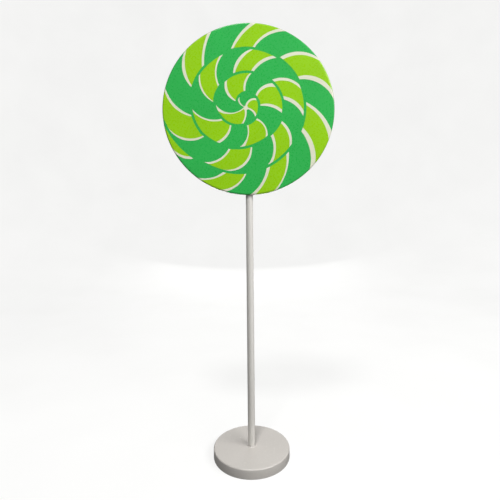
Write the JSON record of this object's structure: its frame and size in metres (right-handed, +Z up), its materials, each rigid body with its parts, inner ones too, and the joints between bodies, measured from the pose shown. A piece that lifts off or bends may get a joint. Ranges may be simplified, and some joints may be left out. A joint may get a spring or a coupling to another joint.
{
  "type": "giant swirl lollipop display prop",
  "caption": "Freestanding giant lollipop prop: a thick round disc with a painted rope swirl on a straight round stick, standing on a weighted round base plate.",
  "frame": {"origin": "on the ground at the middle of the base plate, below the middle of the disc", "axes": "+Z up, the shown swirl face looks along -Y, +X to the right of someone facing it"},
  "size_m": [0.6, 0.265, 1.512],
  "materials": {
    "swirl_paint": "satin paint on rigid foam, green ground with lime and off-white swirl stripes",
    "stick_coating": "off-white satin powder coat",
    "plate_coating": "off-white satin powder coat, fine grain"
  },
  "bodies": {
    "root": {"swirl_disc": "swirl_paint", "stick": "stick_coating", "base_plate": "plate_coating"}
  },
  "joints": []
}
